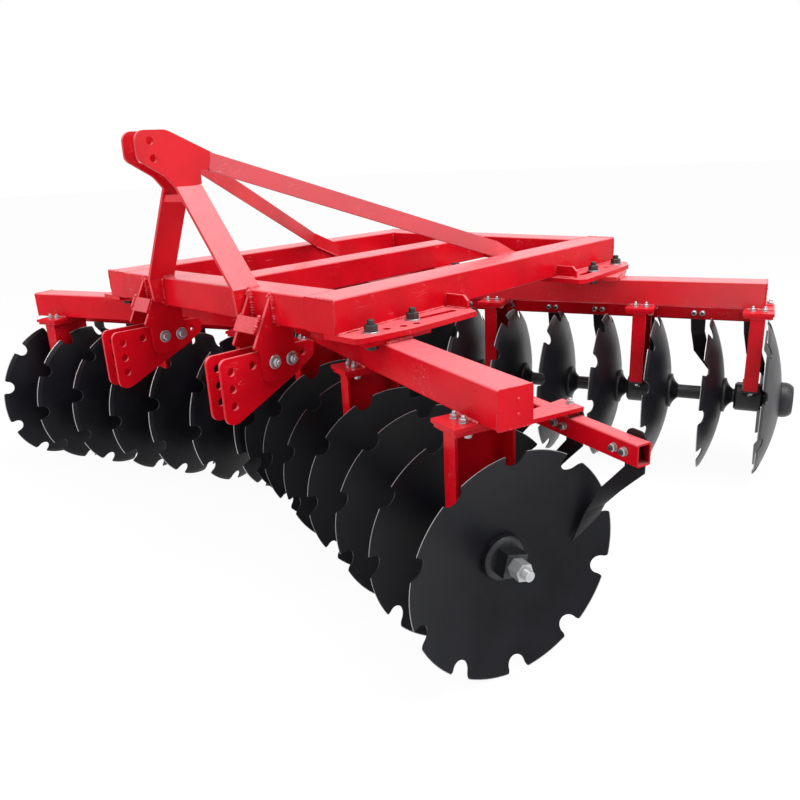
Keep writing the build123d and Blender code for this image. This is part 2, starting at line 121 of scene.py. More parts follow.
def relief_of(tree, height, strength, depth, edge=None):
    """Relief by a height, over edges that are rounded by a small radius where one is given."""
    inputs = {"Height": height, "Strength": strength, "Distance": depth}
    if edge:
        soft = add(tree, "ShaderNodeBevel", {"Radius": edge}, samples=4)
        inputs["Normal"] = soft.outputs["Normal"]
    return add(tree, "ShaderNodeBump", inputs).outputs["Normal"]


def group_of(name, inputs, outputs):
    """An empty node group with named sockets: its tree, what it is given, and what it puts out."""
    tree = bpy.data.node_groups.new(name, "ShaderNodeTree")
    for socket, (kind, value) in inputs.items():
        made = tree.interface.new_socket(socket, in_out="INPUT", socket_type="NodeSocket" + kind)
        made.default_value = value
    for socket, kind in outputs.items():
        tree.interface.new_socket(socket, in_out="OUTPUT", socket_type="NodeSocket" + kind)
    return tree, tree.nodes.new("NodeGroupInput").outputs, tree.nodes.new("NodeGroupOutput")


def place_group(tree, group, inputs):
    """A group placed in a tree with its own values; gives its outputs."""
    return add(tree, "ShaderNodeGroup", inputs, node_tree=group).outputs


def new_material(name):
    """A material with its shader, and the place on the object that its patterns are drawn by."""
    material = bpy.data.materials.new(name)
    material.use_nodes = True
    tree = material.node_tree
    place = add(tree, "ShaderNodeTexCoord", {}).outputs["Object"]
    return material, tree, tree.nodes["Principled BSDF"], place


def sprayed_film():
    """Sprayed paint: patches a little lighter or darker, orange peel, the long waves of the plate,
    a few fine scratches, and a painted sheen, a pale colour on what faces up that stands in for
    the reflection of a bright sky."""
    tree, given, out = group_of(
        "sprayed_film",
        {"Place": ("Vector", ORIGIN), "Colour": ("Color", WHITE), "Deep colour": ("Color", WHITE),
         "Peel scale": ("Float", 220.0), "Roughness": ("Float", 0.25), "Painted sheen": ("Float", 0.0),
         "Scratches": ("Float", 0.0)},
        {"Colour": "Color", "Roughness": "Float", "Height": "Float"})
    place = given["Place"]
    patches = speckle(tree, place, 5.0, 4.0)
    spread = between(tree, patches, 0.35, 0.65)
    paint = mixed(tree, spread, given["Colour"], given["Deep colour"])

    drawn_out = add(tree, "ShaderNodeMapping", {"Vector": place, "Rotation": (0.5, 0.3, 0.6),
                                                "Scale": (9, 1.2, 9)})
    lines = speckle(tree, drawn_out.outputs["Vector"], 6.0, 1.0)
    off_line = worked_out(tree, "ABSOLUTE", worked_out(tree, "SUBTRACT", lines, 0.5))
    scratch = between(tree, off_line, 0.002, 0.006, 1.0, 0.0)
    handled = between(tree, speckle(tree, place, 7.0, 3.0), 0.58, 0.64)
    marks = times(tree, times(tree, scratch, handled), given["Scratches"])
    scratched = mixed(tree, marks, paint, PALE_SCRATCH_AND_SHEEN)

    # Painted sheen: faces that look up are mixed towards a pale colour, in uneven patches.
    uneven = between(tree, speckle(tree, place, 60.0, 6.0), 0.0, 1.0, 0.8, 1.2)
    facing_up = between(tree, facing(tree)["Z"], 0.1, 0.7)
    painted_sheen = times(tree, times(tree, facing_up, uneven), given["Painted sheen"])

    peel = speckle(tree, place, given["Peel scale"], 2.0)
    waves = speckle(tree, place, 11.0, 1.0)
    feed(tree, out, {"Colour": mixed(tree, painted_sheen, scratched, PALE_SCRATCH_AND_SHEEN),
                     "Roughness": worked_out(tree, "MULTIPLY_ADD", patches, 0.14,
                                             given["Roughness"]),
                     "Height": worked_out(tree, "MULTIPLY_ADD", peel, 0.12, waves)})
    return tree


film_group = sprayed_film()


def enamel(name, roughness, gloss, painted_sheen, outer_sheen=0.0, peel_scale=220.0, relief=0.3):
    """Red enamel on steel, whose edges are soft where the paint pulls round them. The sheen values
    set a painted sheen, a pale colour mixed in on what faces up, and on faces that look away from
    the middle."""
    material, tree, shader, place = new_material(name)
    film = place_group(tree, film_group, {
        "Place": place, "Colour": RED, "Deep colour": RED_DEEP, "Peel scale": peel_scale,
        "Roughness": roughness, "Painted sheen": painted_sheen, "Scratches": SCRATCH_STRENGTH})
    paint = film["Colour"]
    # Painted sheen on faces that look away from the machine's middle.
    if outer_sheen:
        across = add(tree, "ShaderNodeSeparateXYZ", {"Vector": place}).outputs["X"]
        outward = times(tree, facing(tree)["X"], worked_out(tree, "SIGN", across))
        share = between(tree, outward, 0.2, 0.6, 0.0, outer_sheen)
        paint = mixed(tree, share, paint, PALE_SCRATCH_AND_SHEEN)
    feed(tree, shader, {"Base Color": paint, "Roughness": film["Roughness"],
                        "Normal": relief_of(tree, film["Height"], relief, 0.004, edge=0.002),
                        "Specular IOR Level": gloss})
    return material


def dress(material, *names):
    """Gives CAD nodes their material."""
    for name in names:
        nodes[name].data.materials.clear()
        nodes[name].data.materials.append(material)


def both(name):
    """A node's names on the right and the left."""
    return name + "_right", name + "_left"


red_enamel = enamel("red_enamel", roughness=0.20, gloss=0.10, painted_sheen=0.32)
dress(red_enamel, "front_crossbeam", "rear_crossbeam", "centre_beam", *both("side_beam"))


# Frame welds. Runs of weld in the joints of the tubes and round their caps, laid with a torch that
# leaves a ripple every few millimetres and sprayed over with the frame.
BEAD_SIDES = 8
RIPPLE_STEP, RIPPLE = 3.0 * MM, 0.08
LUMPS, LUMP_SCALE = 0.35, 160
START_SIZE, START_GROWTH = 0.55, 0.2
SMOOTH_UNDER = math.radians(35)
TUBE_HALF_WIDE, TUBE_HALF_HIGH = 70, 55
SIDE_TUBE_MIDDLE = 650
CROSS_FRONT, CROSS_REAR = 140, 1650
ACROSS, UP, DOWN = Vector((1, 0, 0)), Vector((0, 0, 1)), Vector((0, 0, -1))


def skin(bm, rings):
    """Faces between rings of points, closed at both ends."""
    count = len(rings[0])
    for a, b in zip(rings, rings[1:]):
        for k in range(count):
            bm.faces.new((a[k], a[(k + 1) % count], b[(k + 1) % count], b[k]))
    bm.faces.new(reversed(rings[0]))
    bm.faces.new(rings[-1])


def bead(bm, points, radius):
    """A run of weld along points, a lumpy rippled string, thinner where it starts and stops."""
    path = [points[0]]
    for start, end in zip(points, points[1:]):
        count = max(1, round((end - start).length / RIPPLE_STEP))
        path += [start.lerp(end, k / count) for k in range(1, count + 1)]
    last = len(path) - 1
    rings = []
    side = None
    for k, point in enumerate(path):
        along = (path[min(k + 1, last)] - path[max(k - 1, 0)]).normalized()
        side = along.orthogonal() if side is None else side - along * side.dot(along)
        side.normalize()
        other = along.cross(side)
        ends = min(1.0, START_SIZE + START_GROWTH * min(k, last - k))
        size = radius * MM * ends * (1 + RIPPLE * (k % 3 - 1))
        ring = []
        for turn in range(BEAD_SIDES):
            angle = math.tau * turn / BEAD_SIDES
            reach = (side * math.cos(angle) + other * math.sin(angle)) * size
            lump = 1 + LUMPS * noise.noise((point + reach) * LUMP_SCALE)
            ring.append(bm.verts.new(point + reach * lump))
        rings.append(ring)
    skin(bm, rings)


def weld(bm, side, radius, *corners):
    """A run of weld through points of the right side, or of the left where side is -1."""
    bead(bm, [spot(side * x, y, z) for x, y, z in corners], radius)


def tube_rim(centre, across, half_width, half_height, corner=5):
    """Points round the rim of a rounded tube's end, closed."""
    points = []
    for quarter, (sx, sz) in enumerate(((1, 1), (-1, 1), (-1, -1), (1, -1))):
        for step in range(4):
            angle = math.pi / 2 * (quarter + step / 3)
            a = sx * (half_width - corner) + corner * math.cos(angle)
            b = sz * (half_height - corner) + corner * math.sin(angle)
            points.append(centre + across * a * MM + UP * b * MM)
    return points + points[:1]


def made_piece(name, bm, material, body):
    """Turns a bmesh into a piece with its material, riding on a body."""
    bmesh.ops.recalc_face_normals(bm, faces=bm.faces)
    mesh = bpy.data.meshes.new(name)
    bm.to_mesh(mesh)
    bm.free()
    mesh.polygons.foreach_set("use_smooth", [True] * len(mesh.polygons))
    mesh.set_sharp_from_angle(angle=SMOOTH_UNDER)
    mesh.materials.append(material)
    piece = bpy.data.objects.new(name, mesh)
    bpy.context.scene.collection.objects.link(piece)
    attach(piece, body)


weld_enamel = enamel("weld_enamel", roughness=0.22, gloss=0.30, painted_sheen=0.3, peel_scale=420.0,
                     relief=0.8)
bm = bmesh.new()
for side in (1, -1):
    weld(bm, side, 5, (SIDE_TUBE_MIDDLE - 20, 1, TOP - 1), (OUTER_FACE - 4, 1, TOP - 1))
    weld(bm, side, 4, (INNER_FACE, 6, TOP - 3), (INNER_FACE, CROSS_FRONT - 6, TOP - 3))
    weld(bm, side, 4, (OUTER_FACE - 2, 2, TOP - 4), (OUTER_FACE - 2, 2, BOTTOM + 24))
    weld(bm, side, 4, (INNER_FACE + 4, CROSS_REAR + 8, TOP - 2),
         (INNER_FACE + 4, REAR_FACE - 10, TOP - 2))
    for y in (CROSS_FRONT + 2, CROSS_REAR - 2):
        for x in (INNER_FACE - 2, TUBE_HALF_WIDE + 2):
            weld(bm, side, 5, (x, y, BOTTOM + 14), (x, y, TOP - 12))
    weld(bm, side, 4, *((INNER_FACE, REAR_FACE - 1, z) for z in (BOTTOM + 14, TOP - 12)))
    centre = spot(side * SIDE_TUBE_MIDDLE, REAR_FACE - 3, (TOP + BOTTOM) / 2)
    bead(bm, tube_rim(centre, ACROSS, TUBE_HALF_WIDE - 1, TUBE_HALF_HIGH - 1), 3.5)
for y in (CROSS_FRONT - 2, CROSS_REAR + 2):
    weld(bm, 1, 4, (8 - TUBE_HALF_WIDE, y, TOP - 2), (TUBE_HALF_WIDE - 8, y, TOP - 2))
made_piece("frame_welds", bm, weld_enamel, "frame")


# Mount plates and pivot plates. Flame-cut 18 mm plate welded under the side tubes and the centre
# tube, with a slot, spare holes and an upright tab, painted with the frame. The gang beams bolt up
# under them.
PLATE_RUNS = ((8, 524), (1284, 1780))
TABS = ((533, 545), (1263, 1275))
TAB_OUTER, TAB_TOP = 812, BOTTOM + 44
dress(red_enamel, *both("front_mount_plate"), *both("rear_mount_plate"), "front_pivot_plate",
      "rear_pivot_plate")
bm = bmesh.new()
for side in (1, -1):
    for start, end in PLATE_RUNS:
        weld(bm, side, 4.5, (OUTER_FACE + 2, start, BOTTOM + 1), (OUTER_FACE + 2, end, BOTTOM + 1))
    for front, rear in TABS:
        for y in (front - 1, rear + 1):
            weld(bm, side, 4, (OUTER_FACE + 4, y, BOTTOM + 1), (TAB_OUTER, y, BOTTOM + 1))
            weld(bm, side, 4, (OUTER_FACE + 1, y, BOTTOM + 2), (OUTER_FACE + 1, y, TAB_TOP))
made_piece("mount_plate_welds", bm, weld_enamel, "frame")


# Mount bolts. Black M24 bolts with nuts on top and large plated washers, through the mount plates
# and the saddles of the gang beams, and one at each inner end through the pivot plate.
BLACK_BOLT, BLACK_BOLT_DULL = (0.018, 0.018, 0.022, 1), (0.035, 0.033, 0.034, 1)
ZINC, ZINC_DULL = (0.62, 0.64, 0.66, 1), (0.42, 0.43, 0.45, 1)
CREASE_SHADE = (0.01, 0.01, 0.01, 1)
MOUNT_BOLTS = ((779, 94), (766, 302), (787, 1475), (778, 1700))
PIVOT_BOLTS = ((122, 404), (122, 1341))
SADDLE_BOTTOM = 831


def stack(bm, base, axis, stages, turn=0.0):
    """Stages piled along an axis, each with its number of sides, radius, height and chamfer."""
    axis = axis.normalized()
    side = axis.orthogonal().normalized()
    other = axis.cross(side)
    start = 0.0
    for sides, radius, height, chamfer in stages:
        rings = []
        foot = chamfer * 0.4
        for level, shrink in ((0, foot), (foot, 0), (height - chamfer, 0), (height, chamfer)):
            ring = []
            for k in range(sides):
                angle = turn + math.tau * k / sides
                reach = side * math.cos(angle) + other * math.sin(angle)
                away = axis * (start + level) + reach * (radius - shrink)
                ring.append(bm.verts.new(base + away * MM))
            rings.append(ring)
        skin(bm, rings)
        start += height


def thread(radius, length, pitch=3.0):
    """Stages of a cut thread, which shrink and swell by a little for each turn."""
    count = max(2, round(length / pitch))
    ridge = length / count
    return [(24, radius, ridge, ridge * 0.42)] * (count - 1) + [(24, radius, ridge, ridge * 0.7)]


def scratched_metal():
    """Bright metal with soft clouds in its plating, fine scratches, and painted shade that darkens
    its creases.
    """
    tree, given, out = group_of(
        "scratched_metal",
        {"Place": ("Vector", ORIGIN), "Colour": ("Color", WHITE), "Dull colour": ("Color", WHITE),
         "Roughness": ("Float", 0.3)},
        {"Colour": "Color", "Roughness": "Float", "Height": "Float"})
    clouds = speckle(tree, given["Place"], 70.0, 5.0)
    plated = mixed(tree, clouds, given["Colour"], given["Dull colour"])
    # Painted shade: ambient occlusion darkens the metal towards near black in creases and where
    # parts touch.
    crease = add(tree, "ShaderNodeAmbientOcclusion", {"Distance": 0.012}, samples=6)
    out_of_shade = between(tree, crease.outputs["AO"], 0.2, 0.8, 0.2, 1.0)
    feed(tree, out, {"Colour": mixed(tree, out_of_shade, CREASE_SHADE, plated),
                     "Roughness": worked_out(tree, "MULTIPLY_ADD", clouds, 0.25,
                                             given["Roughness"]),
                     "Height": speckle(tree, given["Place"], 600.0, 3.0)})
    return tree


metal_group = scratched_metal()


def bare_metal(name, colour, dull, roughness, metallic):
    """Plated or blackened steel."""
    material, tree, shader, place = new_material(name)
    worn = place_group(tree, metal_group, {"Place": place, "Colour": colour, "Dull colour": dull,
                                           "Roughness": roughness})
    feed(tree, shader, {"Base Color": worn["Colour"], "Roughness": worn["Roughness"],
                        "Normal": relief_of(tree, worn["Height"], 0.12, 0.001),
                        "Metallic": metallic})
    return material


MOUNT_WASHER = [(40, 26, 4, 0.8)]
MOUNT_NUT = [(6, 22, 22, 2.5)] + thread(12, 15)
PIVOT_NUT = [(6, 21, 12, 2.5)]
HEAD_BELOW = [(6, 21, 15, 2.5)]
black_bolt = bare_metal("black_bolt", BLACK_BOLT, BLACK_BOLT_DULL, roughness=0.3, metallic=0.0)
zinc_plate = bare_metal("zinc_plate", ZINC, ZINC_DULL, roughness=0.22, metallic=0.75)
bolts, washers = bmesh.new(), bmesh.new()
for side in (1, -1):
    for x, y in MOUNT_BOLTS + PIVOT_BOLTS:
        turn = 0.4 + x * 0.01
        nut = MOUNT_NUT if (x, y) in MOUNT_BOLTS else PIVOT_NUT
        stack(washers, spot(side * x, y, BOTTOM), UP, MOUNT_WASHER)
        stack(bolts, spot(side * x, y, BOTTOM + 4), UP, nut, turn)
        stack(washers, spot(side * x, y, SADDLE_BOTTOM), DOWN, MOUNT_WASHER)
        stack(bolts, spot(side * x, y, SADDLE_BOTTOM - 4), DOWN, HEAD_BELOW, turn)
made_piece("mount_bolts", bolts, black_bolt, "frame")
made_piece("mount_washers", washers, zinc_plate, "frame")


# Mast. Two 12 mm plates, each bent from head to splayed leg, with a flat brace from the head back
# to the side tube and a short plate between the legs. Welded to the frame and painted with it.
LEG_TOP_X, LEG_TOP_Z, LEG_FOOT_X = 41, 1316, 276
LEAN = (LEG_FOOT_X - LEG_TOP_X) / (LEG_TOP_Z - TOP)
LEG_FACES = (LEG_FOOT_X - 8, LEG_FOOT_X + 8)
LEG_SEAM_END = 892
BRACE_SIDE_SEAM = ((1060, 961), (1205, 895))
BRACE_TOP_SEAM = (1058, 1168)
CROSS_PLATE_TOP, CROSS_PLATE_FOOT, CROSS_PLATE_FRONT = 1291, 1268, -67


def leg_inside(z):
    """The inner face of a leg at a height."""
    return LEG_TOP_X + (LEG_TOP_Z - z) * LEAN - 7


mast_enamel = enamel("mast_enamel", roughness=0.24, gloss=0.35, painted_sheen=0.32)
# The braces carry a painted sheen on their outward faces too.
brace_enamel = enamel("brace_enamel", roughness=0.24, gloss=0.3, painted_sheen=0.1, outer_sheen=0.22)
dress(mast_enamel, *both("mast_side"), "mast_cross_plate")
dress(brace_enamel, *both("mast_brace"))
bm = bmesh.new()
for side in (1, -1):
    for x in LEG_FACES:
        weld(bm, side, 6, (x, 2, TOP + 1), (x, 52, TOP + 1))
        weld(bm, side, 6, (x, -2, TOP - 4), (x, -2, LEG_SEAM_END))
    weld(bm, side, 5, *((INNER_FACE - 9, y, z) for y, z in BRACE_SIDE_SEAM))
    weld(bm, side, 5, *((INNER_FACE + 1, y, TOP - 1) for y in BRACE_TOP_SEAM))
    x = leg_inside(CROSS_PLATE_TOP)
    weld(bm, side, 4, (x, -64, CROSS_PLATE_TOP), (x, -44, CROSS_PLATE_TOP))
    weld(bm, side, 4, (leg_inside(CROSS_PLATE_TOP - 12), CROSS_PLATE_FRONT, CROSS_PLATE_TOP - 1),
         (leg_inside(CROSS_PLATE_FOOT), CROSS_PLATE_FRONT, CROSS_PLATE_FOOT))
made_piece("mast_welds", bm, weld_enamel, "frame")


# Lower hitch. On each side two cheeks welded to the front tube, closed by a thick cross plate, hold
# a pair of plates with the link-pin holes. Two plated bolts with large washers pass through all
# four.
INNER_CHEEK, OUTER_CHEEK = (290, 302), (405, 417)
CHEEK_REAR = 72
CHEEK_BOLTS = ((-12, 742), (60, 739))
TIE_EDGES = ((-38, 901), (-66, 848))
CHEEK_NUT = [(40, 24.5, 3.5, 1.0), (24, 13, 3, 0.5), (6, 16, 11, 2.5)] + thread(8.5, 7, 2.5)
CHEEK_HEAD = [(40, 24.5, 3.5, 1.0), (6, 15.5, 10, 2)]
dress(red_enamel, *both("hitch_bracket"), *both("hitch_plates"))
bm, bolts = bmesh.new(), bmesh.new()
for side in (1, -1):
    for faces in (INNER_CHEEK, OUTER_CHEEK):
        for x in (faces[0] - 3, faces[1] + 3):
            weld(bm, side, 8, (x, -1, BOTTOM + 6), (x, -1, TOP - 8))
            weld(bm, side, 6, (x, 4, BOTTOM - 1), (x, CHEEK_REAR, BOTTOM - 1))
        weld(bm, side, 6, *((x, -3, TOP - 7) for x in faces))
    weld(bm, side, 6.5, *((OUTER_CHEEK[0] + 2, y - 10, z + 6) for y, z in TIE_EDGES))
    weld(bm, side, 4, *((INNER_CHEEK[0] + 2, y - 2, z) for y, z in TIE_EDGES))
    for y, z in CHEEK_BOLTS:
        stack(bolts, spot(side * OUTER_CHEEK[1], y, z), side * ACROSS, CHEEK_NUT, 0.3 + y * 0.02)
        stack(bolts, spot(side * INNER_CHEEK[0], y, z), -side * ACROSS, CHEEK_HEAD, 0.1 + y)
made_piece("hitch_welds", bm, weld_enamel, "frame")
made_piece("hitch_bolts", bolts, zinc_plate, "frame")


# Gang beams. Square 110 mm tube with capped ends, a saddle plate on top that bolts to the mount
# plate and a lug at the inner end. Painted red.
QUARTERS = (("front", "right"), ("front", "left"), ("rear", "right"), ("rear", "left"))
BEAM_END = {"front": 840, "rear": 870}
BEAM_INNER_END = -556
BEAM_TOP, BEAM_BOTTOM = 831, 721
BEAM_HALF = 55
SADDLE_ENDS = (44, 236)
SADDLE_EDGE = {"front": ((255, -52), (226, 56)), "rear": ((288, -55), (288, 55))}
RIVET_HEIGHTS = (797, 757)
RIVET = [(16, 5, 2.5, 1.2)]
GANGS = {}
for joint in frame["joints"]:
    centre, axis = Vector(joint["pos_m"]), Vector(joint["axis"])
    outboard = axis * math.copysign(1, centre.x)
    rearward = Vector((-outboard.y, outboard.x, 0))
    rearward *= math.copysign(1, rearward.y)
    gang = joint["name"].removesuffix("_turn")
    GANGS[gang] = (Vector((centre.x, centre.y, 0)), outboard, rearward)


def along_gang(row, side, s, n, z):
    """A point by a gang's own outboard, rearward and upward distances, from millimetres."""
    origin, outboard, rearward = GANGS[f"{row}_gang_{side}"]
    return origin + outboard * s * MM + rearward * n * MM + Vector((0, 0, z * MM))


def gang_ways(row, side):
    """A gang's outboard and rearward directions."""
    return GANGS[f"{row}_gang_{side}"][1:]


def gang_weld(bm, row, side, radius, *corners):
    """A run of weld through points along a gang."""
    bead(bm, [along_gang(row, side, *corner) for corner in corners], radius)


rear_enamel = enamel("rear_enamel", roughness=0.24, gloss=0.7, painted_sheen=0.32)
bm, rivets = bmesh.new(), bmesh.new()
for row, side in QUARTERS:
    dress(red_enamel if row == "front" else rear_enamel, f"{row}_beam_{side}")
    outboard, rearward = gang_ways(row, side)
    for s in (BEAM_END[row] - 3, BEAM_INNER_END + 3):
        centre = along_gang(row, side, s, 0, (BEAM_TOP + BEAM_BOTTOM) / 2)
        bead(bm, tube_rim(centre, rearward, BEAM_HALF - 1, BEAM_HALF - 1), 3)
    gang_weld(bm, row, side, 6.5, *((s, n, BEAM_TOP + 2) for s, n in SADDLE_EDGE[row]))
    for n in (3 - BEAM_HALF, BEAM_HALF - 3):
        gang_weld(bm, row, side, 6.5, *((s, n, BEAM_TOP - 3) for s in SADDLE_ENDS))
        gang_weld(bm, row, side, 6, (BEAM_INNER_END + 6, n, BEAM_TOP - 3),
                  (BEAM_INNER_END + 104, n, BEAM_TOP - 3))
    gang_weld(bm, row, side, 5, *((SADDLE_ENDS[0] - 6, n, BEAM_TOP + 1) for n in (-46, 46)))
    for z in RIVET_HEIGHTS:
        stack(rivets, along_gang(row, side, BEAM_END[row], 8, z), outboard, RIVET)
made_piece("gang_beam_welds", bm, weld_enamel, "frame")
made_piece("gang_beam_rivets", rivets, weld_enamel, "frame")


# Hangers. Under each gang beam three channels stand on the bearings, with two stacked plates
# between channel and beam, clamped by plated bolts. Their tops lie in the beam's shade, so their
# paint carries only a little of the painted sheen on what faces up.
HANGERS = {"front": (706, 48, -404), "rear": (847, 387, -285)}
HANGER_PLATE_HALF, HANGER_PLATE_BOTTOM = 54, 697
CHANNEL_FRONT, CHANNEL_HALF = -115, 26
CHANNEL_SIDE, CHANNEL_SEAM = -30, (-110, 76)
NUT_PLACES = ((-22, -82), (22, -82), (-42, 76), (42, 76))
HEAD_PLACES = ((42, -82), (42, 60))
HANGER_NUT = [(28, 13, 2.5, 0.5), (6, 11, 10, 1.5)] + thread(6, 8, 2)
HANGER_HEAD = [(28, 13, 2.5, 0.5), (6, 11, 8, 1.5)]
hanger_enamel = enamel("hanger_enamel", roughness=0.20, gloss=0.12, painted_sheen=0.04)
bm, bolts = bmesh.new(), bmesh.new()
for row, side in QUARTERS:
    dress(hanger_enamel, f"{row}_hangers_{side}")
    for c in HANGERS[row]:
        for n in (-BEAM_HALF - 2, BEAM_HALF + 2):
            gang_weld(bm, row, side, 5, (c - HANGER_PLATE_HALF, n, BEAM_BOTTOM + 1),
                      (c + HANGER_PLATE_HALF, n, BEAM_BOTTOM + 1))
        below = HANGER_PLATE_BOTTOM - 1
        gang_weld(bm, row, side, 4.5, (c - CHANNEL_HALF, CHANNEL_FRONT, below),
                  (c + CHANNEL_HALF, CHANNEL_FRONT, below))
        gang_weld(bm, row, side, 4.5, *((c + CHANNEL_SIDE, n, below) for n in CHANNEL_SEAM))
        for s, n in NUT_PLACES:
            stack(bolts, along_gang(row, side, c + s, n, BEAM_BOTTOM), UP, HANGER_NUT,
                  0.2 + (c + s) * 0.05)
        for s, n in HEAD_PLACES:
            stack(bolts, along_gang(row, side, c + s, n, HANGER_PLATE_BOTTOM), DOWN, HANGER_HEAD,
                  0.5)
made_piece("hanger_welds", bm, weld_enamel, "frame")
made_piece("hanger_bolts", bolts, zinc_plate, "frame")


# Bearings. Cast-iron housings that close round the necks of the spools, painted black and bolted up
# under the channels' feet.
IRON, IRON_DEEP = (0.016, 0.017, 0.020, 1), (0.007, 0.007, 0.009, 1)
AXLE_HEIGHT = 330
BEARINGS = {"front": (676, 10, -434), "rear": (843, 397, -269)}
BEARING_RADIUS = 61
FOOT_TOP, PAD_BOTTOM = 400, 374
FOOT_BOLTS = (-82, 56)
BEARING_NUT = [(28, 14, 3, 0.5), (6, 13, 11, 1.5)] + thread(8, 9, 2)
BEARING_HEAD = [(6, 13, 9, 1.5)]
NIPPLE = [(6, 5, 4, 0.5), (16, 3.4, 4, 1.2)]


def cast_black(name, relief):
    """Sand-cast iron under thin black paint."""
    material, tree, shader, place = new_material(name)
    grain = speckle(tree, place, 260.0, 5.0)
    spread = between(tree, speckle(tree, place, 14.0, 3.0), 0.35, 0.7)
    feed(tree, shader, {"Base Color": mixed(tree, spread, IRON, IRON_DEEP),
                        "Roughness": between(tree, grain, 0.0, 1.0, 0.26, 0.44),
                        "Normal": relief_of(tree, grain, relief, 0.003, edge=0.003),
                        "Specular IOR Level": 0.4})
    return material


bearing_iron = cast_black("black_cast_iron", relief=0.35)
bolts = bmesh.new()
for row, side in QUARTERS:
    dress(bearing_iron, f"{row}_bearings_{side}")
    _, rearward = gang_ways(row, side)
    nipple_way = (rearward * -0.7 + UP * 0.3).normalized()
    for hanger, bearing in zip(HANGERS[row], BEARINGS[row]):
        for n in FOOT_BOLTS:
            stack(bolts, along_gang(row, side, hanger + 2, n, FOOT_TOP), UP, BEARING_NUT, 0.4)
            stack(bolts, along_gang(row, side, hanger + 2, n, PAD_BOTTOM), DOWN, BEARING_HEAD, 0.4)
        middle = along_gang(row, side, bearing, 0, AXLE_HEIGHT)
        stack(bolts, middle + nipple_way * (BEARING_RADIUS - 0.5) * MM, nipple_way, NIPPLE)
made_piece("bearing_bolts", bolts, zinc_plate, "frame")


# Scraper bars. Open-ended 60 x 45 mm tube behind each gang, hung on straps in front and under the
# hangers' plates at the rear, with two plated nuts on the bar's front face for every scraper. Where
# walls stand close round a point the paint is darkened to dark mill steel: bare steel inside the
# open ends, and painted shade there and where the bar meets other parts.
DISCS, PITCH = 7, 222
FIRST_RIM = {"front": 851, "rear": 888}
BAR_FRONT = {"front": 203.5, "rear": 170}
BAR_MIDDLE = {"front": 668, "rear": 651}
SCRAPER_OFFSET = {"front": 138.5, "rear": -62}
SCRAPER_BACK = {"front": 253.5, "rear": 220.5}
SCRAPER_BOLT_HALF = 17.5
SCRAPER_NUT = [(28, 12, 2, 0.4), (6, 11, 9, 1.5)]
SCRAPER_HEAD = [(20, 12, 2.5, 0.8), (20, 9, 3, 2.0)]
STRAP_BOLT = (62, 238)
STRAP_NUT = [(28, 12, 2, 0.4), (6, 10, 8, 1.5)] + thread(5, 5, 2)
FRONT_STRAP_SEAM, FRONT_STRAP_N = (38, 95), 207
REAR_STRAP_HALF, REAR_STRAP_N, REAR_STRAP_Z = 38, 169, 681
MILL_STEEL_AND_SHADE = (0.03, 0.006, 0.006, 1)


def bar_enamel():
    """The red enamel, darkened to dark mill steel where walls stand close round a point: bare steel
    inside the tube's ends, and painted shade there and where the bar meets other parts.
    """
    material = enamel("bar_enamel", roughness=0.20, gloss=0.10, painted_sheen=0.28)
    tree, shader = material.node_tree, material.node_tree.nodes["Principled BSDF"]
    # Painted shade: ambient occlusion darkens the paint towards dark mill steel in the tube's ends
    # and where the bar meets other parts.
    open_to_air = add(tree, "ShaderNodeAmbientOcclusion", {"Distance": 0.05}, samples=6)
    unshaded = between(tree, open_to_air.outputs["AO"], 0.35, 0.6)
    paint = shader.inputs["Base Color"].links[0].from_socket
    feed(tree, shader, {"Base Color": mixed(tree, unshaded, MILL_STEEL_AND_SHADE, paint)})
    return material


bar_paint = bar_enamel()
bm, nuts, bolt_ends = bmesh.new(), bmesh.new(), bmesh.new()
for row, side in QUARTERS:
    dress(bar_paint, f"{row}_scraper_bar_{side}")
    _, rearward = gang_ways(row, side)
    front, middle = BAR_FRONT[row], BAR_MIDDLE[row]
    for index in range(DISCS):
        scraper = FIRST_RIM[row] - PITCH * index + SCRAPER_OFFSET[row]
        for s in (scraper - SCRAPER_BOLT_HALF, scraper + SCRAPER_BOLT_HALF):
            stack(nuts, along_gang(row, side, s, front, middle), -rearward, SCRAPER_NUT,
                  0.3 + s * 0.03)
            stack(bolt_ends, along_gang(row, side, s, front - 11, middle), -rearward,
                  thread(6, 6, 2))
            stack(nuts, along_gang(row, side, s, SCRAPER_BACK[row], middle), rearward,
                  SCRAPER_HEAD)
    for c in HANGERS[row]:
        if row == "front":
            stack(nuts, along_gang(row, side, c + STRAP_BOLT[0], STRAP_BOLT[1], BEAM_BOTTOM), UP,
                  STRAP_NUT, 0.5)
            gang_weld(bm, row, side, 4, *((c + s, FRONT_STRAP_N, HANGER_PLATE_BOTTOM)
                                          for s in FRONT_STRAP_SEAM))
        else:
            gang_weld(bm, row, side, 4, (c - REAR_STRAP_HALF, REAR_STRAP_N, REAR_STRAP_Z),
                      (c + REAR_STRAP_HALF, REAR_STRAP_N, REAR_STRAP_Z))
made_piece("scraper_bar_welds", bm, weld_enamel, "frame")
made_piece("scraper_nuts", nuts, zinc_plate, "frame")
made_piece("scraper_bolt_ends", bolt_ends, black_bolt, "frame")


# Scrapers. Blades of 5 mm spring steel, bent and twisted so that the end lies along the disc's
# hollow face, painted black.
SPRING_BLACK, SPRING_DEEP = (0.010, 0.010, 0.012, 1), (0.020, 0.017, 0.020, 1)


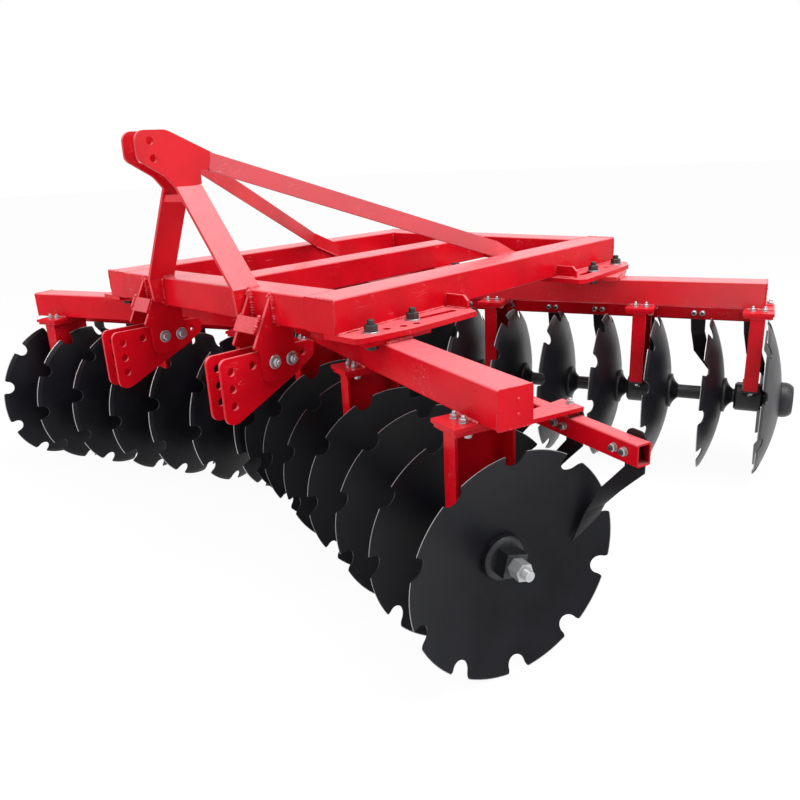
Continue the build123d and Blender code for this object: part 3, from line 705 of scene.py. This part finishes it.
def spring_black():
    """Thin black paint on spring steel."""
    material, tree, shader, place = new_material("spring_black")
    film = place_group(tree, film_group, {"Place": place, "Colour": SPRING_BLACK,
                                          "Deep colour": SPRING_DEEP, "Peel scale": 320.0,
                                          "Roughness": 0.24})
    feed(tree, shader, {"Base Color": film["Colour"], "Roughness": film["Roughness"],
                        "Normal": relief_of(tree, film["Height"], 0.3, 0.003),
                        "Specular IOR Level": 0.15})
    return material


dress(spring_black(), *both("front_scrapers"), *both("rear_scrapers"))


# Gangs. Seven dished discs, the cast spools between them and the square axle are clamped by one end
# nut and turn together. Discs are hot-pressed boron steel in thin blue-black paint, ground bright
# on the rim. The rear row has the glossier paint.
DISC_BLACK, DISC_DEEP = (0.0060, 0.0062, 0.0085, 1), (0.0100, 0.0103, 0.0135, 1)
GROUND_STEEL = (0.42, 0.42, 0.43, 1)
DISC_GLOSS = {"front": 0.13, "rear": 0.42}
RIM_FROM, RIM_BLUR = 328.6 * MM, 0.6 * MM
NUT_DULL = (0.40, 0.40, 0.40, 1)
NUT_FROM = {"front": 843 * MM, "rear": -459 * MM}
THREAD_RADIUS, THREAD_PITCH = 16.5 * MM, 3 * MM


def gang_distances():
    """How far a point is from a gang's axis, and how far along it."""
    tree, given, out = group_of(
        "gang_distances",
        {"Place": ("Vector", ORIGIN), "Axis point": ("Vector", ORIGIN), "Axis": ("Vector", ACROSS)},
        {"Radius": "Float", "Along": "Float"})

    def vectors(operation, first, second=ORIGIN):
        return add(tree, "ShaderNodeVectorMath", {0: first, 1: second}, operation=operation).outputs

    away = vectors("SUBTRACT", given["Place"], given["Axis point"])["Vector"]
    aside = vectors("CROSS_PRODUCT", away, given["Axis"])["Vector"]
    feed(tree, out, {"Radius": vectors("LENGTH", aside)["Value"],
                     "Along": vectors("DOT_PRODUCT", away, given["Axis"])["Value"]})
    return tree


distances_group = gang_distances()


def from_axis(tree, place, gang):
    """A point's distances from a gang's axis and along it."""
    origin, outboard, _ = GANGS[gang]
    where = place_group(tree, distances_group, {"Place": place, "Axis": outboard,
                                                "Axis point": origin + UP * AXLE_HEIGHT * MM})
    return where["Radius"], where["Along"]


def disc_steel(gang, gloss):
    """Blue-black paint with faint rings from pressing, and a bright rim."""
    material, tree, shader, place = new_material("disc_steel_" + gang)
    radius, _ = from_axis(tree, place, gang)
    patches = speckle(tree, place, 9.0, 5.0)
    fine = speckle(tree, place, 240.0, 3.0)
    rings = add(tree, "ShaderNodeTexNoise", {"W": radius, "Scale": 130.0, "Detail": 3.0},
                noise_dimensions="1D").outputs["Fac"]
    spread = between(tree, patches, 0.35, 0.7)
    paint = mixed(tree, spread, DISC_BLACK, DISC_DEEP)
    ragged = worked_out(tree, "MULTIPLY_ADD", fine, 0.0012, radius)
    rim = between(tree, ragged, RIM_FROM, RIM_FROM + RIM_BLUR)
    height = worked_out(tree, "MULTIPLY_ADD", rings, 0.5, fine)
    feed(tree, shader, {"Base Color": mixed(tree, rim, paint, GROUND_STEEL), "Metallic": rim,
                        "Roughness": between(tree, patches, 0.0, 1.0, 0.30, 0.50),
                        "Normal": relief_of(tree, height, 0.12, 0.002),
                        "Specular IOR Level": gloss})
    return material


def axle_steel(gang, nut_from):
    """Black bar and washer block, with a bright plated nut and thread beyond nut_from."""
    material, tree, shader, place = new_material("axle_steel_" + gang)
    radius, along = from_axis(tree, place, gang)
    worn = place_group(tree, metal_group, {"Place": place, "Colour": ZINC, "Dull colour": NUT_DULL,
                                           "Roughness": 0.22})
    black = mixed(tree, speckle(tree, place, 200.0, 4.0), IRON, IRON_DEEP)
    bright = between(tree, along, nut_from, nut_from + math.copysign(0.5 * MM, nut_from))
    ridges = worked_out(tree, "SINE", times(tree, along, math.tau / THREAD_PITCH))
    thread_cut = times(tree, ridges, worked_out(tree, "LESS_THAN", radius, THREAD_RADIUS))
    feed(tree, shader, {"Base Color": mixed(tree, bright, black, worn["Colour"]),
                        "Roughness": worn["Roughness"], "Metallic": times(tree, bright, 0.6),
                        "Normal": relief_of(tree, thread_cut, 0.6, 0.001, edge=0.002)})
    return material


spool_iron = cast_black("spool_cast_iron", relief=0.5)
for row, side in QUARTERS:
    gang = f"{row}_gang_{side}"
    dress(disc_steel(gang, DISC_GLOSS[row]), f"{row}_discs_{side}")
    dress(spool_iron, f"{row}_spools_{side}")
    dress(axle_steel(gang, NUT_FROM[row]), f"{row}_axle_{side}")


# Floor. A plain pale studio floor, white where it is seen, straight or in a reflection, apart from
# the machine's shadow, and pale grey in the light that it throws back.
FLOOR_HALF = 60
FLOOR_DROP = 0.0005
FLOOR_GLOW = 0.95
FLOOR_PALE, FLOOR_GREY = (0.93, 0.93, 0.93, 1), (0.90, 0.90, 0.90, 1)


def seen(tree):
    """Where the camera sees a thing, straight, in metal or through glass."""
    path = add(tree, "ShaderNodeLightPath", {}).outputs
    straight_or_mirrored = worked_out(tree, "MAXIMUM", path["Is Camera Ray"], path["Is Glossy Ray"])
    return worked_out(tree, "MAXIMUM", straight_or_mirrored, path["Is Transmission Ray"])


def pale_floor():
    """Matt pale floor with a white glow where it is seen."""
    material, tree, shader, place = new_material("pale_floor")
    mottle = speckle(tree, place, 3.0, 2.0)
    feed(tree, shader, {"Base Color": mixed(tree, mottle, FLOOR_PALE, FLOOR_GREY),
                        "Roughness": 0.9, "Specular IOR Level": 0.1})
    glow = add(tree, "ShaderNodeEmission", {"Color": WHITE, "Strength": 1.0})
    share = times(tree, seen(tree), FLOOR_GLOW)
    surface = add(tree, "ShaderNodeMixShader", {"Fac": share, 1: shader.outputs["BSDF"],
                                                2: glow.outputs["Emission"]})
    feed(tree, tree.nodes["Material Output"], {"Surface": surface.outputs["Shader"]})
    return material


bm = bmesh.new()
bmesh.ops.create_grid(bm, x_segments=8, y_segments=8, size=FLOOR_HALF)
mesh = bpy.data.meshes.new("studio_floor")
bm.to_mesh(mesh)
bm.free()
mesh.materials.append(pale_floor())
floor = bpy.data.objects.new("studio_floor", mesh)
floor.location.z = -FLOOR_DROP
bpy.context.scene.collection.objects.link(floor)


# Light. A pale world that is white where it is seen, a large soft lamp above on the right, and
# weaker ones from the front and the side, all turned to the machine's middle.
SKY_LIGHT = 0.62
MIDDLE = Vector((0, 0, 0.5))
LAMPS = (("key_lamp", (2.5, 0.5, 6.0), 5.0, 360.0), ("front_lamp", (-2.0, -6.0, 4.0), 4.0, 160.0),
         ("side_lamp", (6.5, 1.0, 3.5), 3.0, 70.0))
world = bpy.data.worlds.new("studio")
bpy.context.scene.world = world
world.use_nodes = True
tree = world.node_tree
feed(tree, tree.nodes["Background"], {
    "Color": WHITE, "Strength": between(tree, seen(tree), 0.0, 1.0, SKY_LIGHT, 1.0)})
for name, place, size, power in LAMPS:
    light = bpy.data.lights.new(name, "AREA")
    light.shape, light.size, light.energy = "DISK", size, power
    lamp = bpy.data.objects.new(name, light)
    lamp.location = place
    lamp.rotation_euler = (MIDDLE - Vector(place)).to_track_quat("-Z", "Y").to_euler()
    bpy.context.scene.collection.objects.link(lamp)


# Camera. It stands in front and to the right at eye height, looks down a little, and leans by a few
# degrees.
CAMERA_PLACE = (2.3557, -2.3118, 1.3707)
YAW, PITCH_DOWN, ROLL = math.radians(43.5), math.radians(18.28), math.radians(-2.76)
LENS, SENSOR = 32.7, 36.0
look = Vector((-math.sin(YAW) * math.cos(PITCH_DOWN), math.cos(YAW) * math.cos(PITCH_DOWN),
               -math.sin(PITCH_DOWN)))
level = Vector((math.cos(YAW), math.sin(YAW), 0))
upright = level.cross(look)
right = level * math.cos(ROLL) + upright * math.sin(ROLL)
above = upright * math.cos(ROLL) - level * math.sin(ROLL)
turned = Matrix((right, above, -look)).transposed().to_4x4()
camera_data = bpy.data.cameras.new("camera")
camera_data.lens, camera_data.sensor_width = LENS, SENSOR
camera = bpy.data.objects.new("camera", camera_data)
camera.matrix_world = Matrix.Translation(CAMERA_PLACE) @ turned
bpy.context.scene.collection.objects.link(camera)
bpy.context.scene.camera = camera
bpy.context.scene.view_settings.view_transform = "Standard"
